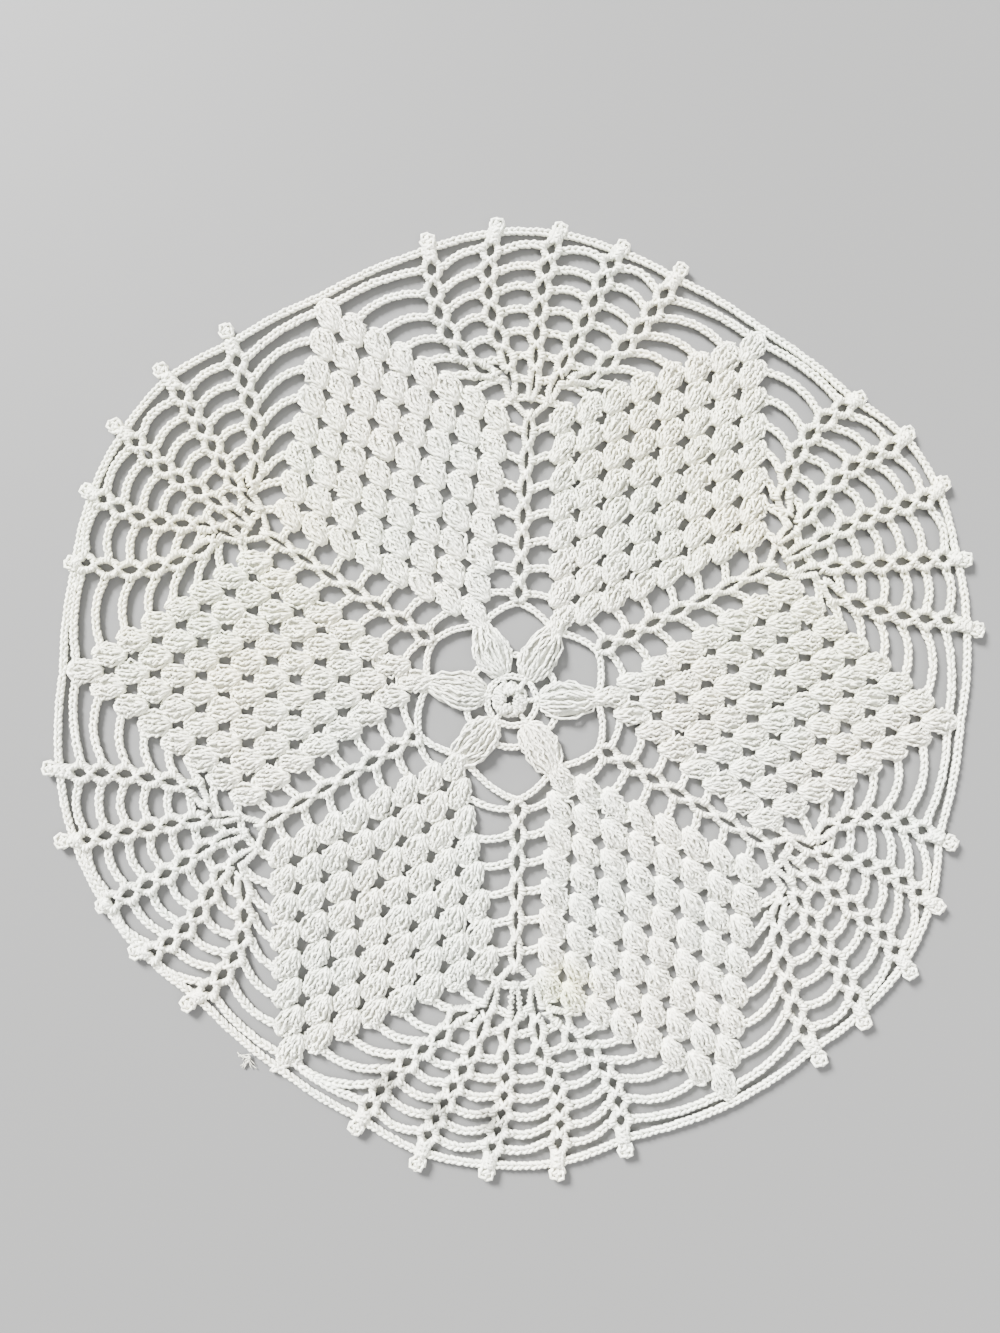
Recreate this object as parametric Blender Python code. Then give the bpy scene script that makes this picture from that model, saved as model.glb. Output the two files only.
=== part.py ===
"""Round crocheted doily in thick cotton, lying flat: one piece of work, one solid.

The piece is worked outwards from a small ring. Six petals stand on the ring. Six panels of
puffs grow from the petals' tips, one puff in round 1, eight in round 8 and one again in
round 15. Between the panels runs a ladder of V stitches, which opens after round 8 into a
fan of five columns. Chains join the puffs and the V stitches in every round, and the last
chain carries a picot on each column.

The plan is drawn in millimetres. A bearing is in degrees, clockwise from +Y, seen from above.
The underside is flat at z = 0, and the origin lies under the middle of the ring.
"""

import math
from collections import namedtuple

import bmesh
import bpy
from mathutils import Vector
from mathutils.geometry import delaunay_2d_cdt

MM = 0.001

# Heights of the work above its flat underside.
NET_HEIGHT = 1.8
VALLEY_HEIGHT = 1.2
PUFF_HEIGHT = 3.3
PETAL_HEIGHT = 3.2
RING_HEIGHT = 2.8
PICOT_HEIGHT = 2.5

# Half widths of the strands of the net.
CHAIN_HALF = 1.4
POST_HALF = 0.5
PICOT_HALF = 2.2
VEE_HALF = 2.4
VEE_LIFT = 0.9

# Middle of the piece: the ring, the petals on it and the first chain, an arch between petals.
RING_RADIUS = 3.4
RING_POINTS = 6
PETAL_FOOT = 8.5
PETAL_HALF = 5.2
PETAL_TIP = 24.5
ARCH_RADIUS = 28.9

# Counts of the pattern.
ROUNDS = 15
PUFFS_A_SIDE = 8
FAN_ROUND = 9
FULL_FAN_ROUND = 10
COLUMNS = (-1.0, -0.5, 0.0, 0.5, 1.0)

# Gaps smaller or thinner than this stay closed, and no more than this many are cut.
SMALLEST_GAP = 13.0
THINNEST_GAP = 0.8
MOST_GAPS = 300

# Where chains leave the sides of a panel and where its edge puffs end, in steps of its grid,
# measured from the centre of the puff of the same round.
LADDER_REACH = 0.36
LADDER_RISE = 0.90
LADDER_SIDE = 0.38
LADDER_SIDE_RISE = 0.25
CORNER_SIDE = 0.48
CORNER_SIDE_RISE = 0.45
FAN_REACH = 0.4
FAN_DROP = 0.6
TIP_REACH = 0.55

# How much a chain bows outwards, as a share of its length.
CHAIN_BOW = 0.08
FIRST_BOW = 0.36
EDGE_BOW = 0.12
LAST_BOW = 0.06
EDGE_CHAIN_BOW = 0.03

# Shares of a chain's length at which the gaps beside it have their corners.
CELL_SHARES = (0.0, 0.5, 1.0)
PETAL_SHARES = (0.55, 0.74, 0.91)
CORNER_SHARES = (0.35, 0.7, 1.0)
ARCH_SHARES = (0.45, 0.75)
LOWER_SHARES = (0.36, 0.66, 1.0)
UPPER_SHARES = (0.14, 0.40, 0.70, 1.0)

# Centres of the corner puffs and of the middle of each panel, from the top right clockwise.
# A slip is how many steps of the grid later the chains of a ladder leave the panel's side.
Panel = namedtuple(
    "Panel",
    "near near_at left left_at right right_at tip tip_at middle middle_at left_slip right_slip",
)
PANELS = (
    Panel(27.5, 31.7, 84.3, 10.1, 85.4, 55.6, 126.0, 34.2, 77.5, 33.2, 0.0, 0.0),
    Panel(28.4, 87.8, 86.6, 68.1, 81.2, 115.0, 124.5, 92.7, 77.7, 90.8, 0.0, 0.0),
    Panel(26.6, 147.6, 84.4, 125.6, 82.4, 172.7, 125.2, 151.0, 77.4, 149.0, 0.0, 0.0),
    Panel(25.0, 221.5, 75.9, 185.6, 79.9, 236.7, 118.8, 212.4, 71.4, 211.1, 0.9, -0.1),
    Panel(28.6, 281.4, 81.5, 250.5, 85.6, 298.4, 124.9, 274.1, 77.5, 275.0, 0.0, 0.0),
    Panel(27.6, 337.3, 85.2, 309.7, 83.5, 357.0, 125.8, 334.6, 77.4, 333.1, 0.0, 0.0),
)

# Ladders and fans, from the top clockwise: the first and last V stitch of the ladder, the middle
# column's V stitches at rounds 10 and 15, half the fan's angle at both rounds, the radius of the
# outer columns at round 15, and the round from which gaps show between fan and panel.
Fan = namedtuple(
    "Fan",
    "foot foot_at head head_at root root_at root_spread rim rim_at rim_spread first last "
    "left_open right_open",
)
FANS = (
    Fan(31.5, 3.5, 88.5, 3.5, 102.0, 4.0, 9.5, 134.5, 5.0, 15.5, 130.0, 128.5, 10, 10),
    Fan(32.0, 59.5, 90.0, 62.5, 103.5, 62.5, 9.5, 135.0, 64.0, 15.5, 130.5, 129.5, 10, 11),
    Fan(31.5, 118.5, 90.0, 119.5, 102.5, 120.5, 8.5, 132.5, 123.0, 15.5, 125.0, 127.0, 10, 10),
    Fan(31.5, 177.0, 90.5, 179.5, 103.0, 181.0, 11.0, 128.0, 182.5, 17.0, 124.5, 123.5, 12, 10),
    Fan(30.0, 250.5, 85.5, 243.5, 99.5, 244.5, 10.0, 130.0, 243.5, 17.0, 121.0, 127.5, 11, 10),
    Fan(32.0, 307.0, 92.0, 304.0, 105.0, 304.0, 8.0, 134.5, 304.5, 16.5, 132.0, 129.0, 10, 10),
)
# How far the V stitches stray from that: inwards halfway up a ladder, inwards on the outer
# columns of a fan, and the place of round 9, whose three stitches start the fan.
LADDER_SAG = 1.8
FAN_DIP = 4.0
SMALL_FAN_DEPTH = 7.6
SMALL_FAN_SPREAD = 11.0

# How far the middle of a fan's columns strays from straight: outwards, and apart by column.
COLUMN_RISE = 0.5
COLUMN_SWAY = 2.8
COLUMN_LEAN = 1.2

# The picots of each fan, a row for each fan: how far outside its column the edge chain meets a
# picot, how far outside it the middle of its knob lies, and how far clockwise.
Picots = namedtuple("Picots", "first second third fourth fifth")
EDGES = (
    Picots(6.1, 5.7, 4.9, 4.3, 5.8),
    Picots(4.1, 5.3, 4.7, 3.7, 5.9),
    Picots(5.2, 4.4, 4.3, 4.1, 5.6),
    Picots(5.2, 6.1, 5.3, 5.5, 4.3),
    Picots(3.7, 2.5, 1.9, 3.4, 6.1),
    Picots(2.2, 3.4, 4.6, 6.5, 5.6),
)
KNOBS = (
    Picots(8.5, 7.6, 6.1, 5.6, 8.7),
    Picots(5.1, 6.1, 6.0, 5.7, 8.8),
    Picots(8.6, 6.3, 6.9, 6.6, 8.9),
    Picots(8.2, 8.6, 7.4, 8.4, 6.9),
    Picots(6.8, 3.6, 2.4, 6.5, 8.7),
    Picots(3.0, 4.7, 7.6, 9.4, 9.4),
)
LEANS = (
    Picots(-0.8, 1.2, 1.1, 1.3, 0.4),
    Picots(0.2, -1.9, -3.2, 0.8, 2.3),
    Picots(-0.5, -0.3, 1.0, 1.8, -1.1),
    Picots(-0.7, -0.7, -0.6, -1.0, -0.6),
    Picots(1.3, 3.0, -0.4, 1.0, 1.7),
    Picots(-1.2, 0.0, -0.7, -1.1, 0.1),
)
FOOT_LEAN = 0.7
KNOB_RADIUS = 2.1

COTTON = (0.80, 0.79, 0.72, 1.0)


def spot(radius, bearing):
    """The point of the plan at a radius and a bearing."""
    angle = math.radians(bearing)
    return Vector((radius * math.sin(angle), radius * math.cos(angle)))


def outward(point):
    """Unit vector from the middle of the piece through a point."""
    return point.normalized()


def clockwise(direction):
    """A direction turned a quarter turn clockwise, seen from above."""
    return Vector((direction.y, -direction.x))


def mix(start, end, share):
    """The number or point that lies a share of the way from start to end."""
    return start * (1.0 - share) + end * share


def puff_spot(panel, i, j):
    """Centre of a puff, counted from the near corner: i towards the left, j to the right."""
    u = i / (PUFFS_A_SIDE - 1)
    v = j / (PUFFS_A_SIDE - 1)
    near = spot(panel.near, panel.near_at)
    left = spot(panel.left, panel.left_at)
    right = spot(panel.right, panel.right_at)
    tip = spot(panel.tip, panel.tip_at)
    swell = spot(panel.middle, panel.middle_at) - (near + left + right + tip) / 4
    level = mix(mix(near, left, u), mix(right, tip, u), v)
    return level + swell * (16 * u * (1 - u) * v * (1 - v))


def side_spot(panel, side, across, along):
    """A point of the panel's grid, counted from one of its two sides."""
    if side < 0:
        return puff_spot(panel, across, along)
    return puff_spot(panel, along, across)


def join_spot(panel, side, round_number):
    """Where the chain of a round leaves a panel, on the left of a fan for side -1."""
    last = PUFFS_A_SIDE - 1
    if round_number < PUFFS_A_SIDE:
        slip = panel.left_slip if side > 0 else panel.right_slip
        along = round_number - 1 + LADDER_RISE + slip * min(1, round_number / 2)
        return side_spot(panel, side, -LADDER_REACH, min(along, last + FAN_REACH))
    return side_spot(panel, side, round_number - PUFFS_A_SIDE, last + FAN_REACH)


def puff_side(panel, side, round_number):
    """The point of the edge puff of a round that lies deepest beside the net."""
    last = PUFFS_A_SIDE - 1
    if round_number < PUFFS_A_SIDE:
        slip = panel.left_slip if side > 0 else panel.right_slip
        along = round_number - 1 + LADDER_SIDE_RISE + slip
        return side_spot(panel, side, -LADDER_SIDE, along)
    if round_number == PUFFS_A_SIDE:
        return side_spot(panel, side, -CORNER_SIDE, last + CORNER_SIDE_RISE)
    return side_spot(panel, side, round_number - PUFFS_A_SIDE - FAN_DROP, last + FAN_REACH)


def vee_spot(fan, column, round_number):
    """Middle of the V stitch of a column, from -1 to 1 across the fan, in a round."""
    if round_number < FAN_ROUND:
        share = (round_number - 1) / (FAN_ROUND - 2)
        straight = mix(spot(fan.foot, fan.foot_at), spot(fan.head, fan.head_at), share)
        return straight - outward(straight) * (LADDER_SAG * 4 * share * (1 - share))
    if round_number == FAN_ROUND:
        return spot(fan.root - SMALL_FAN_DEPTH, fan.root_at + column * SMALL_FAN_SPREAD)
    at_first = column * (column - 1) / 2
    at_last = column * (column + 1) / 2
    reach = fan.first * at_first + fan.rim * (1 - column**2) + fan.last * at_last
    root = spot(fan.root - FAN_DIP * column**2, fan.root_at + column * fan.root_spread)
    rim = spot(reach, fan.rim_at + column * fan.rim_spread)
    share = (round_number - FULL_FAN_ROUND) / (ROUNDS - FULL_FAN_ROUND)
    growth = (rim - root).normalized()
    stray = clockwise(growth) * (COLUMN_SWAY * column - COLUMN_LEAN) + growth * COLUMN_RISE
    return mix(root, rim, share) + stray * (4 * share * (1 - share))


def vee_direction(fan, column, round_number):
    """Direction in which a column grows at a round."""
    last = max(round_number, FULL_FAN_ROUND + 1) if round_number >= FAN_ROUND else round_number
    before = vee_spot(fan, column, last - 1)
    return (vee_spot(fan, column, last) - before).normalized()


def vee_top(fan, column, round_number, side):
    """End of a V stitch's top, on its left for side -1 and on its right for side 1."""
    if round_number == 0:
        return spot(ARCH_RADIUS, fan.foot_at)
    growth = vee_direction(fan, column, round_number)
    middle = vee_spot(fan, column, round_number) + growth * VEE_LIFT
    return middle + clockwise(growth) * (side * VEE_HALF)


def chain(start, end, bow, shares):
    """Points at some shares of a chain that bows outwards between two points."""
    rise = outward((start + end) / 2) * ((end - start).length * bow)
    return [mix(start, end, share) + rise * (4 * share * (1 - share)) for share in shares]


def edge_column(side, round_number):
    """The column that ends a round's chain beside a panel."""
    if round_number < FAN_ROUND:
        return 0.0
    return side * (0.5 if round_number == FAN_ROUND else 1.0)


def side_chain(fan, panel, side, round_number, shares):
    """Points of a round's chain from a panel to the nearest V stitch."""
    bow = EDGE_BOW
    if round_number < PUFFS_A_SIDE:
        bow = CHAIN_BOW
    if round_number == 0:
        bow = FIRST_BOW / 4
    if round_number == ROUNDS:
        bow = LAST_BOW
    end = vee_top(fan, edge_column(side, round_number), round_number, side)
    return chain(join_spot(panel, side, round_number), end, bow, shares)


def fan_chain(fan, first, second, round_number, shares):
    """Points of a round's chain between two columns of a fan, from the left."""
    left = vee_top(fan, first, round_number, 1)
    right = vee_top(fan, second, round_number, -1)
    return chain(left, right, CHAIN_BOW, shares)


def area_of(loop):
    """Signed area of a closed loop, positive when it runs counterclockwise."""
    total = 0.0
    for point, following in zip(loop, loop[1:] + loop[:1]):
        total += point.x * following.y - following.x * point.y
    return total / 2


def beside(curve, distance, end_margin):
    """A curve moved sideways, outwards if the distance is positive, and cut short at its end."""
    moved = []
    for k, point in enumerate(curve):
        along = (curve[min(k + 1, len(curve) - 1)] - curve[max(k - 1, 0)]).normalized()
        side = clockwise(along)
        if side.dot(outward(point)) < 0:
            side = -side
        if k == len(curve) - 1:
            point = point - along * end_margin
        moved.append(point + side * distance)
    return moved


def gap_between(lower, upper, margins):
    """Gap between two curves that run to the right, drawn in by the strands' half widths."""
    lower_side = beside(lower, CHAIN_HALF, margins[1])
    upper_side = beside(upper, -CHAIN_HALF, margins[1])
    if margins[0]:
        lower_side = beside(lower_side[::-1], 0.0, margins[0])[::-1]
        upper_side = beside(upper_side[::-1], 0.0, margins[0])[::-1]
    for below, above in zip(lower_side, upper_side):
        if (above - below).dot(outward(above)) < THINNEST_GAP:
            return None
    return upper_side + lower_side[::-1]


def side_gap(fan, panel, side, round_number):
    """Gap between a panel and the nearest column, or None where it closes up."""
    lower_shares, upper_shares = LOWER_SHARES, UPPER_SHARES
    if round_number < FAN_ROUND:
        lower_shares = upper_shares = CELL_SHARES
    if round_number == PUFFS_A_SIDE:
        upper_shares = CORNER_SHARES
    lower = side_chain(fan, panel, side, round_number - 1, lower_shares)
    upper = side_chain(fan, panel, side, round_number, upper_shares)
    lower = beside(lower, CHAIN_HALF, POST_HALF)
    upper = beside(upper, -CHAIN_HALF, POST_HALF)
    if (upper[-1] - lower[-1]).dot(outward(upper[-1])) < THINNEST_GAP:
        return None
    loop = [puff_side(panel, side, round_number), *upper, *reversed(lower)]
    return loop if side < 0 else loop[::-1]


def fan_gap(fan, first, second, round_number):
    """Gap between two columns of a fan in a round."""
    lower = fan_chain(fan, first, second, round_number - 1, CELL_SHARES)
    upper = fan_chain(fan, first, second, round_number, CELL_SHARES)
    return gap_between(lower, upper, (POST_HALF, POST_HALF))


def picot_spot(number, place, reach, lean):
    """A point of a picot, outside its column by a reach and clockwise of it by a lean."""
    fan = FANS[number]
    growth = vee_direction(fan, COLUMNS[place], ROUNDS)
    middle = vee_spot(fan, COLUMNS[place], ROUNDS)
    return middle + growth * reach + clockwise(growth) * lean


def picot_foot(number, place):
    """Where the edge chain meets a picot of a fan."""
    return picot_spot(number, place, EDGES[number][place], LEANS[number][place] * FOOT_LEAN)


def edge_gap(number, place):
    """Gap between the last two chains, from one picot of a fan to the next."""
    low = [picot_spot(number, k, 0.0, 0.0) for k in (place, place + 1)]
    high = [picot_foot(number, k) for k in (place, place + 1)]
    lower = chain(*low, CHAIN_BOW, CELL_SHARES)
    upper = chain(*high, CHAIN_BOW, CELL_SHARES)
    return gap_between(lower, upper, (PICOT_HALF, PICOT_HALF))


def petal_side(panel, share, side):
    """A point on the side of the petal that carries a panel, a share of the way up it."""
    foot = spot(PETAL_FOOT, panel.near_at)
    tip = spot(PETAL_TIP, panel.near_at)
    half = PETAL_HALF * math.sin(math.pi * (0.12 + 0.8 * share))
    return mix(foot, tip, share) + clockwise(outward(tip)) * (side * half)


def centre_gap(fan, left_panel, right_panel):
    """The large gap between two petals, under the arch that carries a ladder."""
    left = side_chain(fan, left_panel, -1, 0, ARCH_SHARES)
    right = side_chain(fan, right_panel, 1, 0, ARCH_SHARES)
    arch = beside(left, -CHAIN_HALF, 0.0)
    arch.append(spot(ARCH_RADIUS - CHAIN_HALF, fan.foot_at))
    arch.extend(reversed(beside(right, -CHAIN_HALF, 0.0)))
    loop = [petal_side(left_panel, share, 1) for share in PETAL_SHARES]
    loop.extend(arch)
    loop.extend(petal_side(right_panel, share, -1) for share in reversed(PETAL_SHARES))
    return loop


def all_gaps():
    """Every gap of the pattern that is large enough, the largest first."""
    gaps = []
    for number, fan in enumerate(FANS):
        left_panel = PANELS[number - 1]
        right_panel = PANELS[number]
        gaps.append(centre_gap(fan, left_panel, right_panel))
        for round_number in range(1, ROUNDS + 1):
            if round_number < FAN_ROUND or round_number >= fan.left_open:
                gaps.append(side_gap(fan, left_panel, -1, round_number))
            if round_number < FAN_ROUND or round_number >= fan.right_open:
                gaps.append(side_gap(fan, right_panel, 1, round_number))
        for first, second in zip(COLUMNS, COLUMNS[1:]):
            for round_number in range(FULL_FAN_ROUND, ROUNDS + 1):
                gaps.append(fan_gap(fan, first, second, round_number))
        for place in range(len(COLUMNS) - 1):
            gaps.append(edge_gap(number, place))
    sized = [gap for gap in gaps if gap and -area_of(gap) > SMALLEST_GAP]
    sized.sort(key=area_of)
    return sized[:MOST_GAPS]


def picot_outline(number, place):
    """A picot of a fan, from its left foot round its tip to its right foot."""
    growth = vee_direction(FANS[number], COLUMNS[place], ROUNDS)
    across = clockwise(growth) * PICOT_HALF
    foot = picot_foot(number, place) + growth * CHAIN_HALF
    reach = KNOBS[number][place] + KNOB_RADIUS
    tip = picot_spot(number, place, reach, LEANS[number][place])
    shoulder = tip - growth * (0.6 * PICOT_HALF)
    return [
        foot - across,
        shoulder - across,
        tip - across * 0.4,
        tip + across * 0.4,
        shoulder + across,
        foot + across,
    ]


def whole_outline():
    """The outer edge of the piece, clockwise from the top left panel's tip."""
    outline = []
    reach = PUFFS_A_SIDE - 1 + TIP_REACH
    for number in range(len(FANS)):
        tip = puff_spot(PANELS[number - 1], reach, reach)
        outline.append(tip)
        before = tip
        for place in range(len(COLUMNS)):
            picot = picot_outline(number, place)
            outline.extend(chain(before, picot[0], EDGE_CHAIN_BOW, (0.5,)))
            outline.extend(picot)
            before = picot[-1]
        following = puff_spot(PANELS[number], reach, reach)
        outline.extend(chain(before, following, EDGE_CHAIN_BOW, (0.5,)))
    return outline


def raised_points():
    """Points inside the outline whose height differs from the net's, with their heights."""
    points = []
    for panel in PANELS:
        for i in range(PUFFS_A_SIDE):
            for j in range(PUFFS_A_SIDE):
                points.append((puff_spot(panel, i, j), PUFF_HEIGHT))
        for i in range(PUFFS_A_SIDE - 1):
            for j in range(PUFFS_A_SIDE - 1):
                points.append((puff_spot(panel, i + 0.5, j + 0.5), VALLEY_HEIGHT))
        foot = spot(PETAL_FOOT, panel.near_at)
        tip = spot(PETAL_TIP, panel.near_at)
        points.append((mix(foot, tip, 0.3), PETAL_HEIGHT))
        points.append((mix(foot, tip, 0.65), PETAL_HEIGHT))
    for number in range(RING_POINTS):
        points.append((spot(RING_RADIUS, number * 360 / RING_POINTS), RING_HEIGHT))
    points.append((Vector((0.0, 0.0)), NET_HEIGHT))
    for number in range(len(FANS)):
        for place in range(len(COLUMNS)):
            points.append((picot_foot(number, place), PICOT_HEIGHT))
    return points


def holds(loop, point):
    """Whether a point lies inside a closed loop."""
    inside = False
    for start, end in zip(loop, loop[1:] + loop[:1]):
        if (start.y > point.y) != (end.y > point.y):
            reach = (end.x - start.x) * (point.y - start.y) / (end.y - start.y) + start.x
            if point.x < reach:
                inside = not inside
    return inside


def fills_gap(face, owners, points, loops):
    """Whether a triangle lies in a gap, so that all its corners are on that gap's loop."""
    first, second, third = [owners[k] for k in face]
    if first == 0 or first != second or second != third:
        return False
    middle = (points[face[0]] + points[face[1]] + points[face[2]]) / 3
    return holds(loops[first], middle)


def triangles(points, loops):
    """Triangles that fill the loops' inside, as indices into points."""
    edges = []
    owners = [0] * len(points)
    for number, loop in enumerate(loops):
        start = len(edges)
        count = len(loop)
        edges.extend((start + k, start + (k + 1) % count) for k in range(count))
        owners[start:start + count] = [number] * count
    found = delaunay_2d_cdt(points, edges, [], 2, 1e-7)
    origins = [origin[0] for origin in found[3] if origin]
    if len(origins) != len(points) or len(found[3]) != len(points):
        raise ValueError("two loops of the plan cross")
    faces = [[origins[k] for k in face] for face in found[2]]
    return [face for face in faces if not fills_gap(face, owners, points, loops)]


def build_sheet(name, loops, raised):
    """A flat-bottomed sheet with the loops' walls and the raised points in its top."""
    rim = [point for loop in loops for point in loop]
    crown = rim + [point for point, _ in raised]
    heights = [NET_HEIGHT] * len(rim) + [height for _, height in raised]
    work = bmesh.new()
    top = []
    for point, height in zip(crown, heights):
        top.append(work.verts.new((point.x * MM, point.y * MM, height * MM)))
    bottom = [work.verts.new((point.x * MM, point.y * MM, 0.0)) for point in rim]
    for face in triangles(crown, loops):
        work.faces.new([top[k] for k in face])
    for face in triangles(rim, loops):
        work.faces.new([bottom[k] for k in reversed(face)])
    start = 0
    for loop in loops:
        for k in range(len(loop)):
            here = start + k
            following = start + (k + 1) % len(loop)
            work.faces.new((bottom[here], top[here], top[following], bottom[following]))
        start += len(loop)
    bmesh.ops.recalc_face_normals(work, faces=work.faces)
    mesh = bpy.data.meshes.new(name)
    work.to_mesh(mesh)
    work.free()
    return bpy.data.objects.new(name, mesh)


def cotton_material():
    """Undyed matt cotton thread."""
    material = bpy.data.materials.new("cotton_thread")
    material.use_nodes = True
    shader = material.node_tree.nodes["Principled BSDF"]
    shader.inputs["Base Color"].default_value = COTTON
    shader.inputs["Roughness"].default_value = 0.9
    shader.inputs["Metallic"].default_value = 0.0
    return material


def main():
    for old in list(bpy.data.objects):
        bpy.data.objects.remove(old, do_unlink=True)
    doily = build_sheet("doily", [whole_outline()] + all_gaps(), raised_points())
    doily.data.materials.append(cotton_material())
    bpy.context.scene.collection.objects.link(doily)


main()
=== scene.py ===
"""The dressed doily: the same plan as its solid, worked stitch by stitch in round yarn."""

import math
from collections import namedtuple

import bpy
import numpy as np
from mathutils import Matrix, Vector


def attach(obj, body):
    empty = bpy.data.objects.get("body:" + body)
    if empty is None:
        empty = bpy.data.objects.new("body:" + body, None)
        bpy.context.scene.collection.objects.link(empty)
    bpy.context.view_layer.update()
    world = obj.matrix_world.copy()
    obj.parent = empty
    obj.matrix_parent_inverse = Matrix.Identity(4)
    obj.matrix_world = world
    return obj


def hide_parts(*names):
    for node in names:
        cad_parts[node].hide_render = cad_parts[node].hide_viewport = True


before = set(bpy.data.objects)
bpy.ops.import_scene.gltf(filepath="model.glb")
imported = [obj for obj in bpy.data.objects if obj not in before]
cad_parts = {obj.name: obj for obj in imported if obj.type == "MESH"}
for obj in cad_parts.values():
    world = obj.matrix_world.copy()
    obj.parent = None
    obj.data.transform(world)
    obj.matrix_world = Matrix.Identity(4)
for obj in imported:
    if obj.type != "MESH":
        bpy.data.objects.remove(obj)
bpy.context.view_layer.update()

MM = 0.001
TINY = 1e-6

# Sizes are in millimetres, bearings in degrees clockwise from the top.

# The ring: its chain, and its stitches with their radii from the hole outwards.
RING_MIDDLE = Vector((-0.7, 0.4))
RING_CHAIN_RADIUS = 4.0
RING_CHAIN_BEARINGS = range(20, 378, 17)
RING_STITCHES = 9
RING_STITCH_DRIFT = 0.25
RING_STITCH_RADII = (1.9, 3.5, 4.7)
RING_STITCH_TURN = 16
RING_STITCH_SWEEP = (40, 60)
RING_STITCH_BULGE = 0.5

# The petals, the stems that they stand on, and the first chain, an arch between petals.
PETAL_FOOT = 8.2
PETAL_TIP = 25.5
PETAL_STEM = (4.5, 9.5)
ARCH_RADIUS = 28.9

# The loops of chain round the ring, the second between the petals' sides. A corner of the first
# lies some way clockwise of a petal and strays outwards between two limits.
LOOP_RADIUS = 7.4
LOOP_STRAYS = ((0, 0.0, 0.5), (20, -0.2, 0.1), (40, -0.2, 0.1))
LOOP_WIDTH = 0.85
LOOP_SMOOTHING = 0.5
SECOND_LOOP_RADIUS = 12.8
SECOND_LOOP_BOW = 0.12
PETAL_SIDE = 3.6

# Counts of the pattern.
ROUNDS = 15
PUFFS_A_SIDE = 8
FAN_ROUND = 9
FULL_FAN_ROUND = 10
COLUMNS = (-1.0, -0.5, 0.0, 0.5, 1.0)
RIGHT_FANS = (0, 1, 2)
LEFT_FANS = (3, 4, 5)

# Where chains leave the sides of a panel, in steps of its grid from the centre of the puff of the
# same round, and where they start inside that puff, out of sight.
LADDER_REACH = 0.36
LADDER_RISE = 0.90
FAN_REACH = 0.4
HIDDEN_REACH = 0.36
HIDDEN_BACK = 0.6
HIDDEN_ASIDE = 0.30
# Where the edge chain meets the tips of the panels, in the same steps.
EDGE_REACH = 0.47

# How much a chain bows outwards, as a share of its length, and by how much that strays.
CHAIN_BOW = 0.08
ROW_BOW = 0.13
ROW_BOW_STRAY = 0.03
ARCH_BOW = 0.09
EDGE_BOW = 0.12
LAST_BOW = 0.06
EDGE_CHAIN_BOW = 0.03
FORK_BOW = 0.12

# Shares of a chain's length at which its bow is worked out.
SHARES = (0.0, 0.25, 0.5, 0.75, 1.0)
EDGE_SHARES = (0.3, 0.6, 1.0)

# Widths of chains beside the plain one: in the first two rounds and in the others.
FIRST_WIDTH = 0.9
ROW_WIDTH = 1.06

# Centres of the corner puffs and of the middle of each panel, from the top right clockwise.
# A slip is how many steps of the grid later the chains of a ladder leave the panel's side.
Panel = namedtuple(
    "Panel",
    "near near_at left left_at right right_at tip tip_at middle middle_at left_slip right_slip",
)
PANELS = (
    Panel(27.5, 31.7, 84.3, 10.1, 85.4, 55.6, 126.0, 34.2, 77.5, 33.2, 0.0, 0.0),
    Panel(28.4, 87.8, 86.6, 68.1, 81.2, 115.0, 124.5, 92.7, 77.7, 90.8, 0.0, 0.0),
    Panel(26.6, 147.6, 84.4, 125.6, 82.4, 172.7, 125.2, 151.0, 77.4, 149.0, 0.0, 0.0),
    Panel(25.0, 221.5, 75.9, 185.6, 79.9, 236.7, 118.8, 212.4, 71.4, 211.1, 0.9, -0.1),
    Panel(28.6, 281.4, 81.5, 250.5, 85.6, 298.4, 124.9, 274.1, 77.5, 275.0, 0.0, 0.0),
    Panel(27.6, 337.3, 85.2, 309.7, 83.5, 357.0, 125.8, 334.6, 77.4, 333.1, 0.0, 0.0),
)

# Ladders and fans, from the top clockwise: the first and last V stitch of the ladder, the middle
# column's V stitches at rounds 10 and 15, half the fan's angle at both rounds, and the radius of
# the outer columns at round 15.
Fan = namedtuple(
    "Fan", "foot foot_at head head_at root root_at root_spread rim rim_at rim_spread first last"
)
FANS = (
    Fan(31.5, 3.5, 88.5, 3.5, 102.0, 4.0, 9.5, 134.5, 5.0, 15.5, 130.0, 128.5),
    Fan(32.0, 59.5, 90.0, 62.5, 103.5, 62.5, 9.5, 135.0, 64.0, 15.5, 130.5, 129.5),
    Fan(31.5, 118.5, 90.0, 119.5, 102.5, 120.5, 8.5, 132.5, 123.0, 15.5, 125.0, 127.0),
    Fan(31.5, 177.0, 90.5, 179.5, 103.0, 181.0, 11.0, 128.0, 182.5, 17.0, 124.5, 123.5),
    Fan(30.0, 250.5, 85.5, 243.5, 99.5, 244.5, 10.0, 130.0, 243.5, 17.0, 121.0, 127.5),
    Fan(32.0, 307.0, 92.0, 304.0, 105.0, 304.0, 8.0, 134.5, 304.5, 16.5, 132.0, 129.0),
)
# How far inwards of that V stitches lie: halfway up a ladder, on the outer columns of a fan, and
# in round 9, measured from the fan's root.
LADDER_SAG = 1.8
FAN_DIP = 4.0
ROOT_DEPTH = 7.6

# How far the middle of a fan's columns strays from straight: outwards, and apart by column.
COLUMN_RISE = 0.5
COLUMN_SWAY = 2.8
COLUMN_LEAN = 1.2

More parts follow.
